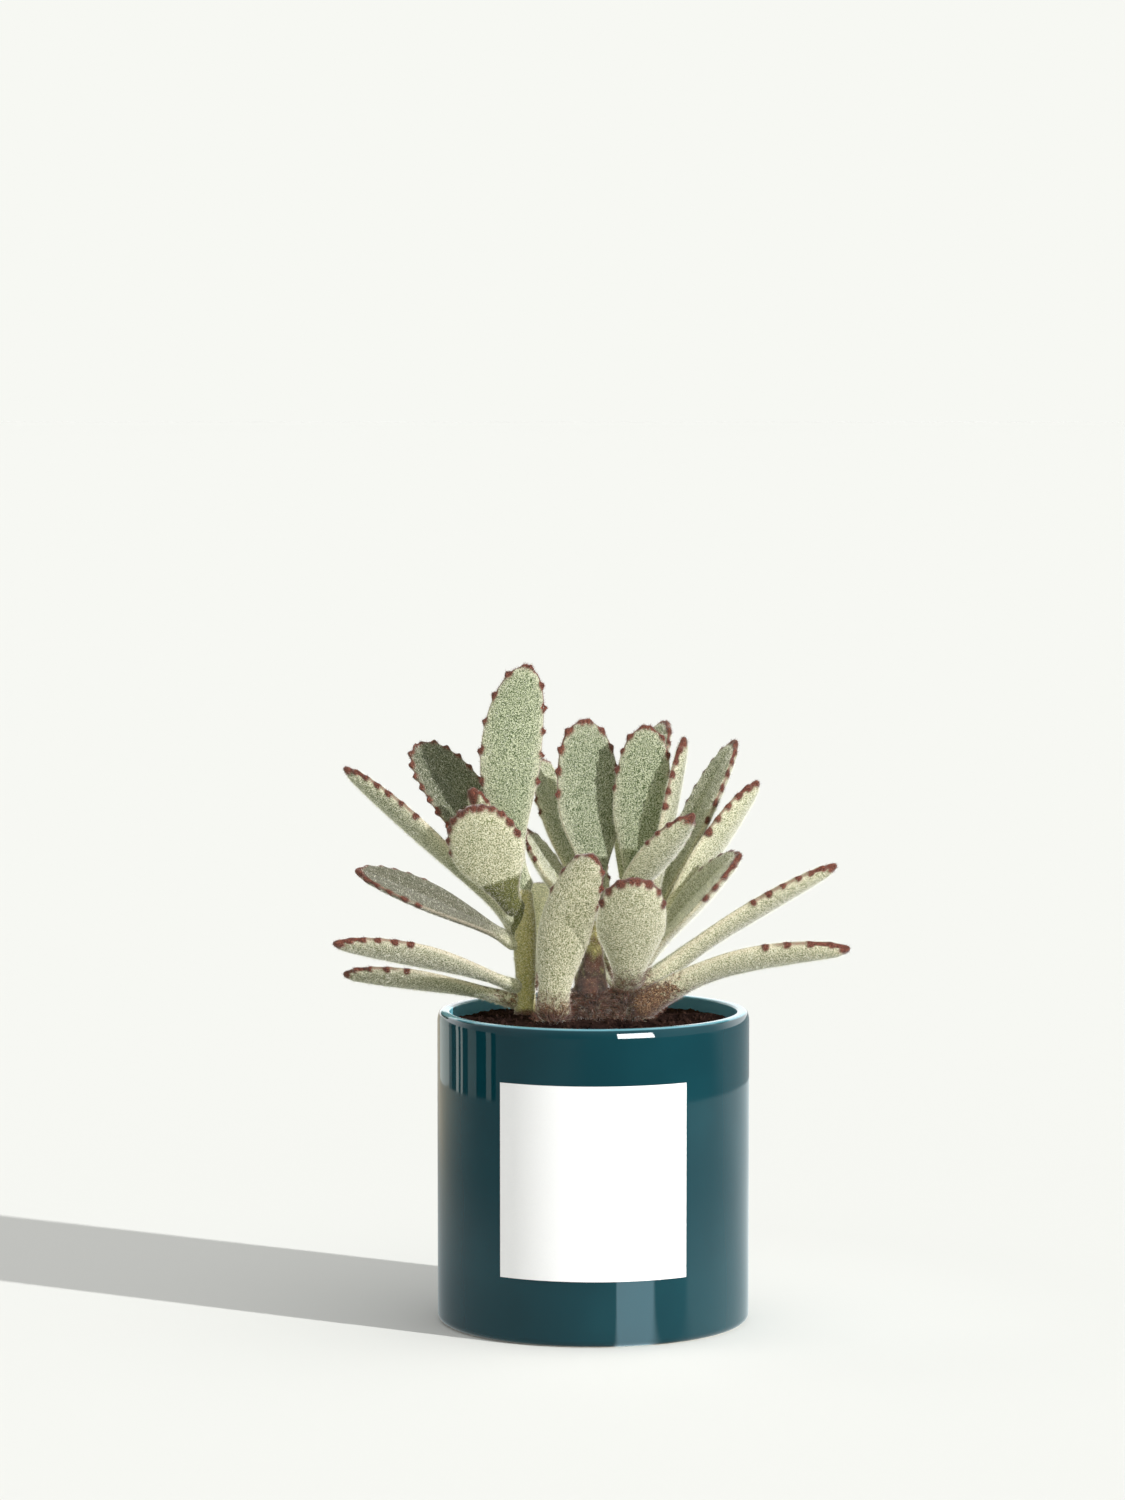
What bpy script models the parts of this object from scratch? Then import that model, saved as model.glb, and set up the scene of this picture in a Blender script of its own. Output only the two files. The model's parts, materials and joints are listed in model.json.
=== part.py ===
"""A panda plant in its glazed cover pot: short felted stems in potting soil, with thick leaves
whose outer edges carry blunt teeth. Metres, +Z up. The origin is the middle of the pot's foot,
the label faces -Y, and azimuths run from +X towards +Y, so 90 is the back of the plant."""

import math
from dataclasses import dataclass

import bmesh
import bpy
from mathutils import Vector, noise

MM = 0.001  # sizes below are in millimetres and degrees
SHARP = 40.0  # edges at more than this are shaded sharp
GAP = 0.3  # between two pieces that touch
LEAF_GAP = 0.5  # between a leaf's root and its stem

POT_RADIUS = 60.0
POT_HEIGHT = 120.0
POT_SIDES = 44
ARC_STEP = 30  # in a rounded edge
WALL = 4.8
FLOOR = 5.0
FLOOR_ROUND = 4.0  # where the wall meets the floor inside
FOOT_ROUND = 3.0  # along the outer lower edge
FOOT_INNER = 46.0  # inner radius of the unglazed foot ring
FOOT_RECESS = 2.0

LABEL_WIDTH = 74.0  # measured round the pot
LABEL_LOW, LABEL_HIGH = 25.2, 98.8
LABEL_THICK = 0.4
LABEL_COLUMNS = 14

SOIL_LEVEL = 114.6  # at the pot's wall
SOIL_RISE = 2.6  # how far it is heaped up round each stem
SOIL_HEAP = 9.0  # radius of that heap
SOIL_CRUMB = 0.5  # height of the lumps
SOIL_LUMP = 5.6  # their size
SOIL_RINGS = 8

STEM_SIDES = 12
STEM_STEP = 9.0  # between its rings
STEM_DEPTH = 28.0  # in the soil
STEM_END = 2.5  # length of the point below that

LEAF_SIDES = 8
ROOT_SHARES = (0.0, 0.09, 0.22, 0.36, 0.52, 0.70, 0.88)  # rings on the way to the last tooth
ROOT_MARGIN = 4.0  # between those rings and that tooth
TIP_GAPS = (1.2, 0.3)  # between the last rings and the tip
TOOTH_GAPS = (3.6, 6.2, 8.6, 9.4)  # between teeth, from the tip, on a leaf of TOOTH_LENGTH
TOOTH_LENGTH = 70.0
TOOTH_HEIGHT = 1.1
TOOTH_STEP = 0.8  # a tooth falls back to the edge in this length
BLADE_WIDEST = 0.62  # of the length, from the root
BLADE_START, BLADE_END = 0.05, 0.08  # where it starts to widen, and how far before the widest it is full
NECK_BODY = 0.66  # thickness at the neck, as a share of the blade's
ROUND_BODY = 2.2  # how soon the tip is full
DOME, KEEL = 0.36, 0.64  # shares of the thickness above and below the margins
CUP_START = 0.3  # of the length, where the channel is at its full depth
ROOT_TURN = 0.13  # a steep leaf leaves its stem at ROOT_RISE and has turned up by here
ROOT_RISE = 38.0
SPINE_STEPS = 64

GLAZE = (0.012, 0.075, 0.092)
PAPER = (0.93, 0.93, 0.92)
EARTH = (0.045, 0.022, 0.016)
BARK = (0.24, 0.21, 0.10)
FELT = (0.33, 0.40, 0.24)


@dataclass
class Stem:
    """Upright to the soil's surface, then a gentle curve to its top."""

    foot: tuple  # x and y
    top: tuple  # x, y and z
    radius: float  # at the soil
    top_radius: float


@dataclass
class Leaf:
    stem: str
    height: float  # of the root's middle above the pot's foot; the stem's own height is its top
    azimuth: float  # in which it leaves the stem
    rise: float  # above level, near the root
    length: float
    width: float
    bend: float = 0.0  # what the rise gains from root to tip
    ease: float = 1.0  # 1 where most of the bend comes near the root, 0 where it is even
    sweep: float = 0.0  # what the azimuth gains
    roll: float = 0.0  # about its own spine, by the right-hand rule
    cup: float = 0.28  # how far the edges stand up, as a share of half the width
    neck: float = 5.0  # width at the root
    thick: float = 4.6
    widest: float = BLADE_WIDEST


STEMS = {
    "left": Stem((-26.0, 8.0), (-27.0, 9.0, 166.0), 3.5, 3.0),
    "front": Stem((-15.2, -9.0), (-15.2, -9.0, 119.0), 5.4, 5.2),
    "centre": Stem((-1.5, 0.0), (1.5, 4.0, 160.0), 4.0, 3.0),
    "right": Stem((12.5, 1.0), (15.0, 4.0, 160.0), 4.2, 3.0),
}

LEAVES = {
    "left": (
        Leaf("left", 122.5, 163, 12, 71, 17, bend=-9, roll=-25),
        Leaf("left", 128, 200, 23, 76, 17, bend=-12, roll=-25),
        Leaf("left", 145, 188, 29, 68, 18, bend=-6, roll=30),
        Leaf("left", 158, 212, 60, 45.5, 29, bend=6, roll=-45),
        Leaf("left", 153, 170, 44, 89, 17, bend=-4, roll=-30),
        Leaf("left", 160.5, 145, 70, 76, 23, bend=-26, roll=35),
        Leaf("left", 166, 0, 105.5, 86.5, 23.4, bend=-34, ease=0, roll=-90, neck=5.4),
        Leaf("left", 138, 84, 22, 55.5, 22, bend=5),
        Leaf("left", 128.5, 82, 8, 50, 18),
        Leaf("left", 164.3, 186, 72, 43.5, 11.5, bend=-4, roll=-40, neck=4, thick=4),
        Leaf("left", 148.5, 130, 40, 45, 15),
    ),
    "front": (Leaf("front", 119, -15, 91, 64, 20.6, bend=-31, ease=0, roll=90, neck=11, widest=0.55),),
    "centre": (
        Leaf("centre", 160, 112, 79, 71, 23.4, neck=5.6, widest=0.55),
        Leaf("centre", 154.5, -36, 46, 60, 17, roll=25),
        Leaf("centre", 149.5, 149, 54, 48, 15),
        Leaf("centre", 156, 116, 50, 76, 16),
        Leaf("centre", 144, 96, 38, 56, 18),
        Leaf("centre", 128, 100, 14, 54, 18),
    ),
    "right": (
        Leaf("right", 120.5, -8, 38, 86, 17, bend=-32, roll=20),
        Leaf("right", 131, -86, 48, 52.5, 28, bend=10, neck=6, widest=0.56),
        Leaf("right", 127.5, 3, 38, 90, 16, bend=-9, roll=12),
        Leaf("right", 137, -30, 50, 63.5, 19, bend=-6, roll=-30),
        Leaf("right", 143, 2, 53, 79, 19, bend=4, roll=25),
        Leaf("right", 149, 25, 62, 84, 18, roll=-8),
        Leaf("right", 160, 0, 86.5, 68.5, 20.4, roll=-90, neck=5.6),
        Leaf("right", 155, 95, 65, 82, 20, sweep=-60),
        Leaf("right", 155, -6, 79, 72, 17),
        Leaf("right", 141, 78, 34, 58, 18),
        Leaf("right", 133, 120, 32, 50, 17),
        Leaf("right", 123, 94, 16, 50, 18),
    ),
}


def smooth(x):
    """0 to 1, level at both ends."""
    x = min(max(x, 0.0), 1.0)
    return x * x * (3.0 - 2.0 * x)


def heading(azimuth, rise=0.0):
    """The unit vector at an azimuth and a height above level, in degrees."""
    a, r = math.radians(azimuth), math.radians(rise)
    return Vector((math.cos(a) * math.cos(r), math.sin(a) * math.cos(r), math.sin(r)))


def material(name, colour, roughness):
    made = bpy.data.materials.new(name)
    made.use_nodes = True
    shader = made.node_tree.nodes["Principled BSDF"]
    shader.inputs["Base Color"].default_value = (*colour, 1.0)
    shader.inputs["Roughness"].default_value = roughness
    return made


def add(name, bm, look):
    """An object from a mesh in millimetres, shaded smooth apart from its sharp edges."""
    bmesh.ops.recalc_face_normals(bm, faces=bm.faces)
    bmesh.ops.scale(bm, vec=(MM, MM, MM), verts=bm.verts)
    mesh = bpy.data.meshes.new(name)
    bm.to_mesh(mesh)
    bm.free()
    mesh.shade_smooth()
    mesh.set_sharp_from_angle(angle=math.radians(SHARP))
    mesh.materials.append(look)
    piece = bpy.data.objects.new(name, mesh)
    bpy.context.scene.collection.objects.link(piece)
    return piece


def arc(centre, radius, start, end):
    """Points of a profile in radius and height, from one angle to another."""
    steps = abs(end - start) // ARC_STEP
    points = []
    for step in range(steps + 1):
        angle = math.radians(start + (end - start) * step / steps)
        points.append((centre[0] + radius * math.cos(angle), centre[1] + radius * math.sin(angle)))
    return points


def turned(profile, sides):
    """A mesh turned round Z from an outline whose ends lie on the axis."""
    bm = bmesh.new()
    verts = [bm.verts.new((radius, 0.0, height)) for radius, height in profile]
    edges = [bm.edges.new(pair) for pair in zip(verts, verts[1:])]
    bmesh.ops.spin(
        bm,
        geom=verts + edges,
        cent=(0, 0, 0),
        axis=(0, 0, 1),
        angle=2 * math.pi,
        steps=sides,
        use_merge=True,
    )
    bmesh.ops.remove_doubles(bm, verts=bm.verts, dist=1e-4)
    return bm


def skinned(rings, start=None, end=None):
    """A closed mesh over rings of points, with a flat or a pointed end."""
    bm = bmesh.new()
    loops = [[bm.verts.new(point) for point in ring] for ring in rings]
    count = len(loops[0])
    for low, high in zip(loops, loops[1:]):
        for i in range(count):
            j = (i + 1) % count
            bm.faces.new((low[i], low[j], high[j], high[i]))
    for loop, point in ((loops[0], start), (loops[-1], end)):
        if point is None:
            bm.faces.new(loop)
        else:
            peak = bm.verts.new(point)
            for i in range(count):
                bm.faces.new((loop[i], loop[(i + 1) % count], peak))
    return bm


def make_pot():
    """Slip-cast stoneware, glazed inside and out, on a bare foot ring."""
    inner = POT_RADIUS - WALL
    lip = WALL / 2
    profile = [(0.0, FOOT_RECESS), (FOOT_INNER, FOOT_RECESS), (FOOT_INNER, 0.0)]
    profile += arc((POT_RADIUS - FOOT_ROUND, FOOT_ROUND), FOOT_ROUND, -90, 0)
    profile += arc((POT_RADIUS - lip, POT_HEIGHT - lip), lip, 0, 180)
    profile += arc((inner - FLOOR_ROUND, FLOOR + FLOOR_ROUND), FLOOR_ROUND, 0, -90)
    profile += [(0.0, FLOOR)]
    add("pot", turned(profile, POT_SIDES), material("glaze", GLAZE, 0.1))


def make_label():
    """A square paper label, bent round the front of the pot."""
    columns = []
    inner = POT_RADIUS + GAP
    half = math.degrees(LABEL_WIDTH / 2 / POT_RADIUS)
    for column in range(LABEL_COLUMNS + 1):
        out = heading(-90 - half + 2 * half * column / LABEL_COLUMNS)
        corners = ((inner, LABEL_LOW), (inner + LABEL_THICK, LABEL_LOW))
        corners += ((inner + LABEL_THICK, LABEL_HIGH), (inner, LABEL_HIGH))
        columns.append([Vector((out.x * r, out.y * r, z)) for r, z in corners])
    add("label", skinned(columns), material("paper", PAPER, 0.7))


def stem_centre(stem, height):
    """The middle of a stem at a height: upright in the soil, then bending to its top."""
    share = (height - SOIL_LEVEL) / (stem.top[2] - SOIL_LEVEL)
    lean = share * share * (2.0 - share) if share > 0 else 0.0
    x = stem.foot[0] + (stem.top[0] - stem.foot[0]) * lean
    y = stem.foot[1] + (stem.top[1] - stem.foot[1]) * lean
    return Vector((x, y, height))


def stem_radius(stem, height):
    share = min(max((height - SOIL_LEVEL) / (stem.top[2] - SOIL_LEVEL), 0.0), 1.0)
    return stem.radius + (stem.top_radius - stem.radius) * share


def make_stems(look):
    for name, stem in STEMS.items():
        base = SOIL_LEVEL - STEM_DEPTH
        above = stem.top[2] - SOIL_LEVEL
        steps = max(3, round(above / STEM_STEP))
        heights = [base] + [SOIL_LEVEL + above * step / steps for step in range(steps + 1)]
        rings = []
        for height in heights:
            middle, radius = stem_centre(stem, height), stem_radius(stem, height)
            angles = [360 * side / STEM_SIDES for side in range(STEM_SIDES)]
            rings.append([middle + heading(angle) * radius for angle in angles])
        root = stem_centre(stem, base - STEM_END)
        add("stem_" + name, skinned(rings, start=root), look)


def soil_height(x, y):
    """The heaped, lumpy surface of the soil."""
    heap = sum(
        math.exp(-((x - stem.foot[0]) ** 2 + (y - stem.foot[1]) ** 2) / (2 * SOIL_HEAP**2))
        for stem in STEMS.values()
    )
    lumps = noise.noise(Vector((x, y, 0.0)) / SOIL_LUMP) * SOIL_CRUMB
    return SOIL_LEVEL + SOIL_RISE * min(heap, 1.0) + lumps


def make_soil():
    """Potting soil up to just below the rim, with a plain hole for each stem."""
    radius = POT_RADIUS - WALL - GAP
    low = FLOOR + GAP
    profile = [(0.0, low), (radius - FLOOR_ROUND, low), (radius, low + FLOOR_ROUND)]
    profile += [(radius * ring / SOIL_RINGS, SOIL_LEVEL) for ring in range(SOIL_RINGS, -1, -1)]
    bm = turned(profile, POT_SIDES)
    for vert in bm.verts:
        if vert.co.z > SOIL_LEVEL - 1:
            vert.co.z = soil_height(vert.co.x, vert.co.y)
    soil = add("soil", bm, material("earth", EARTH, 0.95))
    for name, stem in STEMS.items():
        bottom = SOIL_LEVEL - STEM_DEPTH - STEM_END - 2 * GAP
        hole = bmesh.new()
        bmesh.ops.create_cone(
            hole,
            cap_ends=True,
            segments=2 * STEM_SIDES,
            radius1=stem.radius + 2 * GAP,
            radius2=stem.radius + 2 * GAP,
            depth=POT_HEIGHT + SOIL_HEAP - bottom,
        )
        middle = (POT_HEIGHT + SOIL_HEAP + bottom) / 2
        bmesh.ops.translate(hole, vec=(*stem.foot, middle), verts=hole.verts)
        cutter = add("hole_" + name, hole, soil.data.materials[0])
        cutter.hide_render = True
        cutter.display_type = "WIRE"
        cut = soil.modifiers.new("hole_" + name, "BOOLEAN")
        cut.object = cutter
        cut.operation = "DIFFERENCE"


def on_top(leaf):
    return leaf.height >= STEMS[leaf.stem].top[2]


def spine(leaf):
    """Points along the leaf's middle, with its direction and its level side at each."""
    stem = STEMS[leaf.stem]
    point = stem_centre(stem, leaf.height)
    if on_top(leaf):
        point = point + Vector((0, 0, LEAF_GAP))
    else:
        point = point + heading(leaf.azimuth) * (stem_radius(stem, leaf.height) + LEAF_GAP)
    points, ways = [point], []
    for step in range(SPINE_STEPS + 1):
        along = step / SPINE_STEPS
        steep = 0.0 if on_top(leaf) else max(leaf.rise - ROOT_RISE, 0.0)
        steep *= 1.0 - smooth(along / ROOT_TURN)
        azimuth = leaf.azimuth + leaf.sweep * along
        rise = leaf.rise + leaf.bend * along * (1.0 + leaf.ease * (1.0 - along)) - steep
        way = heading(azimuth, rise)
        ways.append((way, heading(azimuth - 90)))
        points.append(points[-1] + way * (leaf.length / SPINE_STEPS))
    return points[:-1], ways


def blade(leaf, along):
    """Half the width of the leaf at a place along it, from 0 at the root to 1 at the tip."""
    if along < leaf.widest:
        share = smooth((along - BLADE_START) / (leaf.widest - BLADE_END))
    else:
        share = math.sqrt(max(0.0, 1.0 - ((along - leaf.widest) / (1.0 - leaf.widest)) ** 2))
    neck = leaf.neck / leaf.width if along < leaf.widest else 0.0
    return leaf.width / 2 * (neck + (1.0 - neck) * share)


def tooth_places(leaf):
    """Distances of the teeth from the tip."""
    scale = (leaf.length / TOOTH_LENGTH) ** 0.7
    places = [sum(TOOTH_GAPS[: count + 1]) * scale for count in range(len(TOOTH_GAPS))]
    return [place for place in places if place < leaf.length / 2]


def stations(leaf):
    """Where the leaf's rings lie, from its root, each with how far the tooth there stands out."""
    teeth = tooth_places(leaf)
    plain = leaf.length - teeth[-1] - ROOT_MARGIN
    made = [(plain * share, 0.0) for share in ROOT_SHARES]
    for place in reversed(teeth):
        made.append((leaf.length - place, TOOTH_HEIGHT))
        made.append((leaf.length - place + TOOTH_STEP, 0.0))
    return made + [(leaf.length - gap, 0.0) for gap in TIP_GAPS]


def make_leaf(name, leaf, look):
    """A thick blade, domed below and channelled above, with its root cut to the stem's round."""
    points, ways = spine(leaf)
    rings = []
    for place, tooth in stations(leaf):
        along = place / leaf.length
        step = min(along * SPINE_STEPS, SPINE_STEPS - 1e-6)
        low = int(step)
        middle = points[low].lerp(points[low + 1], step - low)
        way, side = (
            first.lerp(second, step - low).normalized() for first, second in zip(ways[low], ways[low + 1])
        )
        up = side.cross(way)
        turn = math.radians(leaf.roll)
        side, up = (
            side * math.cos(turn) + up * math.sin(turn),
            up * math.cos(turn) - side * math.sin(turn),
        )
        half = blade(leaf, along)
        full = min(1.0, half / (leaf.width / 2))
        body = leaf.thick * (NECK_BODY + (1.0 - NECK_BODY) * full)
        body *= min(1.0, math.sqrt(full * ROUND_BODY))
        ring = []
        for corner in range(LEAF_SIDES):
            angle = 2 * math.pi * corner / LEAF_SIDES
            across, over = math.cos(angle), math.sin(angle)
            out = (half + tooth * across**4) * across
            height = body * over * (DOME if over > 0 else KEEL)
            height += leaf.cup * half * across**2 * smooth(along / CUP_START)
            ring.append(middle + side * out + up * height)
        rings.append(ring)
    rings[0] = [seated(point, ways[0][0], leaf) for point in rings[0]]
    add(name, skinned(rings, start=points[0], end=points[-1]), look)


def seated(point, way, leaf):
    """A point of the root, slid along the leaf until it is LEAF_GAP from the stem."""
    stem = STEMS[leaf.stem]
    middle = stem_centre(stem, leaf.height)
    if on_top(leaf):
        return point + way * ((middle.z + LEAF_GAP - point.z) / way.z)
    flat, ahead = (point - middle).xy, way.xy
    lead = flat.dot(ahead) / ahead.dot(ahead)
    reach = stem_radius(stem, leaf.height) + LEAF_GAP
    room = (flat.dot(flat) - reach**2) / ahead.dot(ahead)
    return point + way * (math.sqrt(max(lead * lead - room, 0.0)) - lead)


for old in list(bpy.data.objects):
    bpy.data.objects.remove(old)

bark = material("bark", BARK, 0.9)
felt = material("felt", FELT, 0.85)
make_pot()
make_label()
make_stems(bark)
make_soil()
for group, leaves in LEAVES.items():
    for number, leaf in enumerate(leaves, start=1):
        make_leaf(f"leaf_{group}_{number}", leaf, felt)
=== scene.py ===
"""The looks of a panda plant in its glazed pot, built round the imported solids. Its sizes are in
millimetres until a mesh is finished, and the room's are in metres. Angles are in degrees, and
azimuths run from +X towards +Y."""

import json
import math
from dataclasses import dataclass

import bpy
import numpy as np
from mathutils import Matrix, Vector, noise

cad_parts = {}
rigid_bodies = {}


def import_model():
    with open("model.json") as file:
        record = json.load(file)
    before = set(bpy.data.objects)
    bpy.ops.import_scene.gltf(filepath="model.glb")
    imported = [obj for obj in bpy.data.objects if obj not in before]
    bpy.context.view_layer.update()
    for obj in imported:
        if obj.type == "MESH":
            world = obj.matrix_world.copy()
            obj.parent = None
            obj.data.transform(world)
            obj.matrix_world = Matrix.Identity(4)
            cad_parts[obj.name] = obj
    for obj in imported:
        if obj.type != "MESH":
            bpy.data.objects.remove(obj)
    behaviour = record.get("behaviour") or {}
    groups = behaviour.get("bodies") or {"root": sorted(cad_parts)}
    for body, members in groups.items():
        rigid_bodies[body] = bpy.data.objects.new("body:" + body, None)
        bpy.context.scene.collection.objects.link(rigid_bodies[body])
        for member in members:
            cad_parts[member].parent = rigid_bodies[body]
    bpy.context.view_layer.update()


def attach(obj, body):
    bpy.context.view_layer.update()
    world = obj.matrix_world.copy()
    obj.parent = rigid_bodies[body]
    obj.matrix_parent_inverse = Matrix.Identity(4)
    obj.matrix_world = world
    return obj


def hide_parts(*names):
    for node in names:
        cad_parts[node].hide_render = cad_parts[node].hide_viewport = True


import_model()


# Camera: a long lens at the height of the leaf tips, looking slightly down at the pot, so that
# the soil shows as a thin band behind the rim.
CAMERA_AWAY, CAMERA_HEIGHT = 1.82, 0.356
CAMERA_PITCH, CAMERA_TURN = 85.73, 0.373  # up from straight down, and to the left
LENS, SENSOR = 114.3, 36.0  # millimetres

bpy.ops.object.select_all(action="DESELECT")
pointing = (math.radians(CAMERA_PITCH), 0.0, math.radians(CAMERA_TURN))
bpy.ops.object.camera_add(location=(0.0, -CAMERA_AWAY, CAMERA_HEIGHT), rotation=pointing)
camera = bpy.context.object
camera.data.sensor_width = SENSOR
camera.data.lens = LENS
camera.data.clip_end = 200.0
bpy.context.scene.camera = camera
bpy.context.scene.view_settings.view_transform = "Standard"


# Room: a white surround with a backdrop in one pale tone. The glaze sees the surround brighter at
# the back and overhead than in front, as in a room with its windows there.
PALE = (247, 248, 243)
SURROUND = 0.69  # radiance of the surround


class Socket:
    """A socket of a shader tree, so that a material is written as an expression: each operator
    adds a Math node, and one method makes any other node."""

    def __init__(self, tree, socket=None):
        self.tree = tree
        self.socket = socket

    def node(self, kind, settings=None, values=None, out=0):
        """A node with its settings made first, then its inputs' values or links, as a Socket."""
        made = self.tree.nodes.new("ShaderNode" + kind)
        for name, value in (settings or {}).items():
            setattr(made, name, value)
        for name, value in (values or {}).items():
            if isinstance(value, Socket):
                self.tree.links.new(value.socket, made.inputs[name])
            else:
                made.inputs[name].default_value = value
        return Socket(self.tree, made.outputs[out] if made.outputs else None)

    def math(self, operation, *values):
        """A Math node on two values."""
        return self.node("Math", {"operation": operation}, dict(enumerate(values)))

    def __add__(self, other):
        return self.math("ADD", self, other)

    def __sub__(self, other):
        return self.math("SUBTRACT", self, other)

    def __rsub__(self, other):
        return self.math("SUBTRACT", other, self)

    def __mul__(self, other):
        return self.math("MULTIPLY", self, other)

    __radd__ = __add__
    __rmul__ = __mul__

    def ramp(self, low, high):
        """0 at low and below, 1 at high and above, eased between."""
        values = {"Value": self, "From Min": low, "From Max": high}
        return self.node("MapRange", {"interpolation_type": "SMOOTHSTEP"}, values)

    def between(self, first, second):
        """The first colour where this is 0 and the second where it is 1."""
        return self.node("Mix", {"data_type": "RGBA"}, {0: self, 6: first, 7: second}, out=2)


def colour(red, green, blue):
    """A colour as a screen shows it, from 0 to 255 each, as linear light."""
    return tuple(((c / 255 + 0.055) / 1.055) ** 2.4 for c in (red, green, blue)) + (1.0,)


world = bpy.data.worlds.new("room")
bpy.context.scene.world = world
world.use_nodes = True
world.node_tree.nodes.clear()
room = Socket(world.node_tree)
to_eye = room.node("LightPath", out=0)
to_gloss = room.node("LightPath", out=3)
way = room.node("TexCoord")
right, back, up = (room.node("SeparateXYZ", values={0: way}, out=axis) for axis in range(3))
mirrored = 0.16 + up.ramp(0.15, 0.9) * 0.4 + back.ramp(0.1, 0.7) * 1.6
mirrored = mirrored + right.ramp(0.3, 0.95) * 0.45 + (0.0 - right).ramp(0.3, 0.95) * 0.25
strength = to_gloss * mirrored + (1.0 - to_gloss) * SURROUND
plain = room.node("Background", values={"Color": colour(*PALE), "Strength": 1.0})
lit = room.node("Background", values={"Color": (1.0, 1.0, 1.0, 1.0), "Strength": strength})
shown = room.node("MixShader", values={0: to_eye, 1: lit, 2: plain})
room.node("OutputWorld", values={"Surface": shown})


# Lamps: one sun low at the front right, small enough in the sky for a clear shadow. It is made of
# a lamp each for the floor, the pot and the plant, and a weak one at the front fills the plant's
# shades and throws none.
LAMP_ANGLE = 1.0  # how wide a lamp is in the sky
LAMPS = {  # azimuth, height above level and power in W/m2
    "floor_lamp": (-31.5, 18.0, 5.07),
    "pot_lamp": (-29.5, 24.0, 3.85),
    "plant_lamp": (-45.0, 24.0, 5.7),
    "plant_fill": (-100.0, 12.0, 1.25),
}


def heading(azimuth, rise=0.0):
    """The unit vector at an azimuth and a height above level."""
    a, r = math.radians(azimuth), math.radians(rise)
    return Vector((math.cos(a) * math.cos(r), math.sin(a) * math.cos(r), math.sin(r)))


def sun(name, azimuth, rise, power):
    """A lamp far off at an azimuth and a height."""
    turn = heading(azimuth, rise).to_track_quat("Z", "Y").to_euler()
    bpy.ops.object.light_add(type="SUN", rotation=turn)
    made = bpy.context.object
    made.name = name
    made.data.energy = power
    made.data.angle = math.radians(LAMP_ANGLE)
    made.visible_glossy = False
    return made


lamps = {name: sun(name, *values) for name, values in LAMPS.items()}
lamps["plant_lamp"].data.color = (1.0, 0.975, 1.03)
lamps["plant_fill"].data.color = (1.0, 1.0, 0.56)
lamps["plant_fill"].data.use_shadow = False


# Floor: a smooth matt sheet that runs on without an edge, in the backdrop's tone. The glaze sees
# it dim in front and pale behind, with a bright strip from the foot towards the front right.
FLOOR_REACH = 60.0


def finish_of(name, **fixed):
    """A material and its shader tree, with what is the same all over set on the shader."""
    look = bpy.data.materials.new(name)
    look.use_nodes = True
    shader = look.node_tree.nodes["Principled BSDF"]
    for socket, value in fixed.items():
        shader.inputs[socket.replace("_", " ")].default_value = value
    return look, Socket(look.node_tree)


def feed(look, tree, **links):
    """Links sockets to the inputs of a material's shader."""
    shader = look.node_tree.nodes["Principled BSDF"]
    for name, socket in links.items():
        tree.tree.links.new(socket.socket, shader.inputs[name.replace("_", " ")])


bpy.ops.mesh.primitive_plane_add(size=2 * FLOOR_REACH)
floor = bpy.context.object
floor.name = "floor"
ground, tree = finish_of("ground", Roughness=1.0, Specular_IOR_Level=0.0)
place = tree.node("TexCoord", out=3)
x, y = (tree.node("SeparateXYZ", values={0: place}, out=axis) for axis in range(2))
reach = tree.node("VectorMath", {"operation": "LENGTH"}, {0: place}, out=1)
near = 1.0 - reach.ramp(0.15, 0.45)

# Painted light: the sheet is painted a touch paler round the pot, most at its right side, where the
# pot takes light away from it.
azimuth, rise, power = LAMPS["floor_lamp"]
light = SURROUND + power * math.sin(math.radians(rise)) / math.pi
open_ground = tuple(channel / light for channel in colour(*PALE)[:3])
painted_light_by_pot = x.ramp(-0.03, 0.05) * y.ramp(-0.12, 0.0) * (1.0 - reach.ramp(0.06, 0.22)) * 0.1 + near * 0.015
evened = tree.node("VectorMath", {"operation": "SCALE"}, {0: open_ground, 3: painted_light_by_pot + 1.0})
feed(ground, tree, Base_Color=evened)


# What the glaze sees of it has straight soft edges.
def past(azimuth, start, end):
    """0 before an edge that faces an azimuth, and 1 past it."""
    turn = math.radians(azimuth)
    return (x * math.cos(turn) + y * math.sin(turn)).ramp(start, end)


behind = past(73.0, -0.042, -0.03) * (1.0 - reach.ramp(0.655, 0.665)) * x.ramp(0.0, 0.02)
strip = past(17.0, -0.0105, -0.0075) * (1.0 - past(45.0, -0.0255, -0.0185))
strip = strip * (1.0 - reach.ramp(0.24, 0.26))
left = (0.0 - x).ramp(0.0, 0.3)
left_back = left * y.ramp(-0.1, 0.5)
gloss = 0.2 + near * 0.25 + behind * 0.55 + strip * 2.5
gloss = gloss + y.ramp(0.0, 0.3) * x.ramp(-0.2, 0.3) * 0.3 + left * 0.14 + left_back * 0.42
tinted = left_back.between((0.9, 1.0, 1.02, 1.0), (1.0, 0.9, 0.7, 1.0))
tinted = strip.between(tinted, (0.84, 1.16, 1.32, 1.0))
dim = tree.node("Emission", values={"Color": tinted, "Strength": gloss})
body = Socket(tree.tree, ground.node_tree.nodes["Principled BSDF"].outputs[0])
seen = tree.node("MixShader", values={0: tree.node("LightPath", out=3), 1: body, 2: dim})
tree.tree.links.new(seen.socket, ground.node_tree.nodes["Material Output"].inputs["Surface"])
floor.data.materials.append(ground)


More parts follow.
